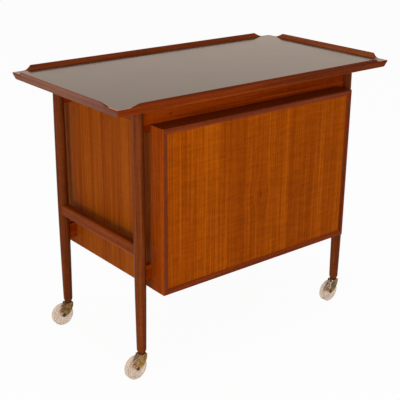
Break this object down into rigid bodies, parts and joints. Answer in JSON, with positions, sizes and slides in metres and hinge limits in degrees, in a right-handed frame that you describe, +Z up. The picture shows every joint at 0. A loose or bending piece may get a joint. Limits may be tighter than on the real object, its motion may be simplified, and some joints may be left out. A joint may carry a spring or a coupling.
{
  "type": "cheese trolley",
  "caption": "Serving trolley with a lipped tray top on turned legs, a deep drawer box hung between the legs and swivel casters.",
  "frame": {"origin": "on the floor under the middle of the tray", "axes": "+X along the front towards the right as seen from the front, the front faces -Y, +Z up"},
  "size_m": [0.8364, 0.4544, 0.676],
  "materials": {
    "tray_wood": "oiled, satin",
    "core_board": "raw board",
    "laminate": "dark, smooth",
    "leg_wood": "turned, oiled",
    "rail_wood": "oiled, satin",
    "carcase_veneer": "veneered, satin",
    "bottom_board": "veneered, matt",
    "front_lipping": "oiled, satin",
    "front_veneer": "veneered, satin",
    "drawer_wood": "planed, waxed",
    "drawer_ply": "plywood, matt",
    "screw_steel": "plain",
    "caster_brass": "tarnished",
    "axle_steel": "dulled",
    "wheel_plastic": "smooth, aged",
    "bush_metal": "dull"
  },
  "bodies": {
    "trolley_frame": {"tray_rail_front": "tray_wood", "tray_rail_rear": "tray_wood", "tray_rail_left": "tray_wood", "tray_rail_right": "tray_wood", "tray_core": "core_board", "tray_laminate": "laminate", "leg_front_left": "leg_wood", "leg_front_right": "leg_wood", "leg_rear_left": "leg_wood", "leg_rear_right": "leg_wood", "stretcher_left": "leg_wood", "stretcher_right": "leg_wood", "end_rail_left": "leg_wood", "end_rail_right": "leg_wood", "cross_rail_top_front": "rail_wood", "cross_rail_low_front": "rail_wood", "cross_rail_top_rear": "rail_wood", "cross_rail_low_rear": "rail_wood", "side_panel_left": "carcase_veneer", "side_panel_right": "carcase_veneer", "back_panel": "carcase_veneer", "bottom_panel": "bottom_board", "runner_left": "drawer_wood", "runner_right": "drawer_wood", "top_screws": "screw_steel", "runner_screws": "screw_steel", "caster_sleeve_front_left": "caster_brass", "caster_sleeve_front_right": "caster_brass", "caster_sleeve_rear_left": "caster_brass", "caster_sleeve_rear_right": "caster_brass"},
    "drawer": {"drawer_front_backing": "core_board", "drawer_lip_top": "front_lipping", "drawer_lip_bottom": "front_lipping", "drawer_lip_left": "front_lipping", "drawer_lip_right": "front_lipping", "drawer_front_panel": "front_veneer", "drawer_side_left": "drawer_wood", "drawer_side_right": "drawer_wood", "drawer_box_front": "drawer_wood", "drawer_back": "drawer_wood", "drawer_bottom": "drawer_ply", "drawer_screws": "screw_steel"},
    "swivel_front_left": {"caster_fork_front_left": "caster_brass", "caster_axle_front_left": "axle_steel"},
    "roller_front_left": {"wheel_front_left": "wheel_plastic", "wheel_bush_front_left": "bush_metal"},
    "swivel_front_right": {"caster_fork_front_right": "caster_brass", "caster_axle_front_right": "axle_steel"},
    "roller_front_right": {"wheel_front_right": "wheel_plastic", "wheel_bush_front_right": "bush_metal"},
    "swivel_rear_left": {"caster_fork_rear_left": "caster_brass", "caster_axle_rear_left": "axle_steel"},
    "roller_rear_left": {"wheel_rear_left": "wheel_plastic", "wheel_bush_rear_left": "bush_metal"},
    "swivel_rear_right": {"caster_fork_rear_right": "caster_brass", "caster_axle_rear_right": "axle_steel"},
    "roller_rear_right": {"wheel_rear_right": "wheel_plastic", "wheel_bush_rear_right": "bush_metal"}
  },
  "joints": [
    {"name": "drawer_slide", "type": "slide", "parent": "trolley_frame", "child": "drawer", "axis": [0, -1, 0], "range_m": [0, 0.24]},
    {"name": "swivel_turn_front_left", "type": "hinge", "parent": "trolley_frame", "child": "swivel_front_left", "pos_m": [-0.324, -0.165, 0.059], "axis": [0, 0, 1], "continuous": true},
    {"name": "wheel_spin_front_left", "type": "hinge", "parent": "swivel_front_left", "child": "roller_front_left", "pos_m": [-0.34293, -0.16666, 0.0285], "axis": [-0.0872, 0.9962, 0], "continuous": true},
    {"name": "swivel_turn_front_right", "type": "hinge", "parent": "trolley_frame", "child": "swivel_front_right", "pos_m": [0.324, -0.165, 0.059], "axis": [0, 0, 1], "continuous": true},
    {"name": "wheel_spin_front_right", "type": "hinge", "parent": "swivel_front_right", "child": "roller_front_right", "pos_m": [0.30503, -0.16599, 0.0285], "axis": [-0.0523, 0.9986, 0], "continuous": true},
    {"name": "swivel_turn_rear_left", "type": "hinge", "parent": "trolley_frame", "child": "swivel_rear_left", "pos_m": [-0.324, 0.165, 0.059], "axis": [0, 0, 1], "continuous": true},
    {"name": "wheel_spin_rear_left", "type": "hinge", "parent": "swivel_rear_left", "child": "roller_rear_left", "pos_m": [-0.343, 0.165, 0.0285], "axis": [0, 1, 0], "continuous": true},
    {"name": "swivel_turn_rear_right", "type": "hinge", "parent": "trolley_frame", "child": "swivel_rear_right", "pos_m": [0.324, 0.165, 0.059], "axis": [0, 0, 1], "continuous": true},
    {"name": "wheel_spin_rear_right", "type": "hinge", "parent": "swivel_rear_right", "child": "roller_rear_right", "pos_m": [0.30518, 0.16236, 0.0285], "axis": [-0.1392, 0.9903, 0], "continuous": true}
  ]
}
